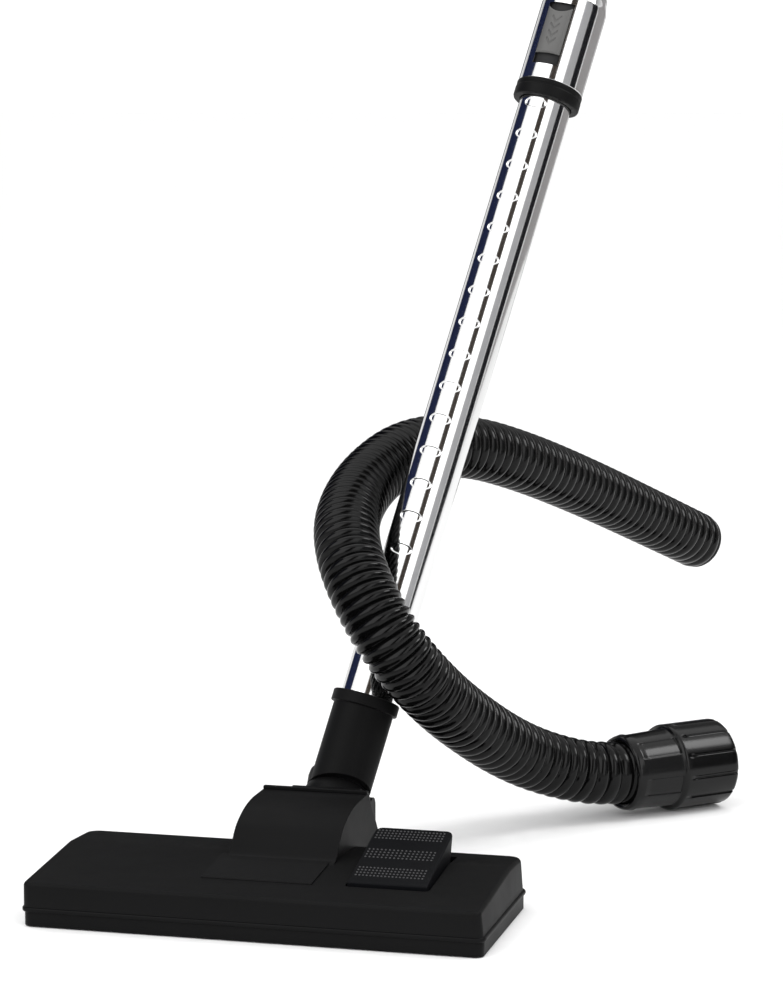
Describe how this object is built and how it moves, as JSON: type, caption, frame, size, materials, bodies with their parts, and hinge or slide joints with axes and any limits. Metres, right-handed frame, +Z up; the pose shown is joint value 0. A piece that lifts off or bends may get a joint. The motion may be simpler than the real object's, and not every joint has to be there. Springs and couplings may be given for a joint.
{
  "type": "vacuum cleaner floor head with telescopic wand and hose",
  "caption": "Flat floor head with foot pedal, ball neck and sliding brushes, a telescopic chrome wand with slide button, and a loose corrugated suction hose with cuff.",
  "frame": {"origin": "on the floor, under the middle of the floor head's footprint", "axes": "+Z up, +X to the head's right-hand end (pedal side), front edge of the head towards -Y"},
  "size_m": [0.3405, 0.6275, 0.865],
  "materials": {
    "black_shell": "fine matte texture",
    "black_satin": "satin",
    "dark_grey": "satin",
    "rubber_strip": "matte",
    "steel_sole": "brushed",
    "chrome_tube": "mirror polish",
    "white_plastic": "satin",
    "spring_steel": "ground",
    "bristle": "dense bristle",
    "velvet": "cut pile",
    "hose_black": "glossy",
    "wheel_rubber": "matte"
  },
  "bodies": {
    "head": {"upper_shell": "black_shell", "hump_rim": "black_satin", "bumper_strip": "rubber_strip", "lower_housing": "black_satin", "sole_plate": "steel_sole", "lint_pickers": "velvet", "case_screws": "spring_steel", "air_duct": "dark_grey", "duct_gasket": "rubber_strip", "pedal_pin": "spring_steel", "pedal_leaf_spring": "spring_steel", "rear_cradle": "black_satin", "ball_seal": "rubber_strip", "trunnion_pins": "spring_steel", "wheel_axle": "spring_steel"},
    "pedal": {"pedal_plate": "black_shell"},
    "brush": {"brush_carriage": "dark_grey", "front_brush": "bristle", "rear_brushes": "bristle"},
    "wheel_left": {"wheel_left": "wheel_rubber"},
    "wheel_right": {"wheel_right": "wheel_rubber"},
    "ball": {"tilt_ball": "black_satin", "swivel_ring": "white_plastic"},
    "neck": {"swivel_neck": "black_shell", "inner_tube": "chrome_tube", "guide_bush": "white_plastic", "hose_tube": "hose_black", "hose_end_bush": "dark_grey", "hose_cuff": "black_satin", "cuff_insert": "dark_grey"},
    "outer": {"outer_tube": "chrome_tube", "tube_end_bush": "black_satin", "sleeve_liner": "dark_grey", "lock_sleeve": "chrome_tube", "sleeve_end_ring": "black_satin", "latch_spring": "spring_steel"},
    "button": {"slider_button": "dark_grey"},
    "latch": {"latch_bar": "spring_steel"}
  },
  "joints": [
    {"name": "pedal_rock", "type": "hinge", "parent": "head", "child": "pedal", "pos_m": [0.0695, 0.006, 0.0205], "axis": [1, 0, 0], "range_deg": [-14, 0]},
    {"name": "brush_lift", "type": "slide", "parent": "head", "child": "brush", "axis": [0, 0, 1], "range_m": [-0.006, 0.0005]},
    {"name": "wheel_left_spin", "type": "hinge", "parent": "head", "child": "wheel_left", "pos_m": [-0.02725, 0.124, 0.01], "axis": [1, 0, 0], "continuous": true},
    {"name": "wheel_right_spin", "type": "hinge", "parent": "head", "child": "wheel_right", "pos_m": [0.02725, 0.124, 0.01], "axis": [1, 0, 0], "continuous": true},
    {"name": "ball_tilt", "type": "hinge", "parent": "head", "child": "ball", "pos_m": [0, 0.12, 0.0355], "axis": [1, 0, 0], "range_deg": [-45, 20]},
    {"name": "neck_swivel", "type": "hinge", "parent": "ball", "child": "neck", "pos_m": [0, 0.12, 0.0355], "axis": [0, 0.6428, 0.766], "range_deg": [-45, 45]},
    {"name": "tube_slide", "type": "slide", "parent": "neck", "child": "outer", "axis": [0.2028, 0.3581, 0.9114], "range_m": [-0.308, 0]},
    {"name": "button_slide", "type": "slide", "parent": "outer", "child": "button", "axis": [-0.2028, -0.3581, -0.9114], "range_m": [0, 0.006], "stiffness_N_per_m": 300, "springref_m": -0.004},
    {"name": "latch_lift", "type": "slide", "parent": "outer", "child": "latch", "axis": [-0.1395, -0.9107, 0.3889], "range_m": [0, 0.0013]}
  ],
  "couplings": [
    {"joint": "brush_lift", "follows": "pedal_rock", "m_per_rad": 0.0204},
    {"joint": "latch_lift", "follows": "button_slide", "ratio": 0.2}
  ]
}
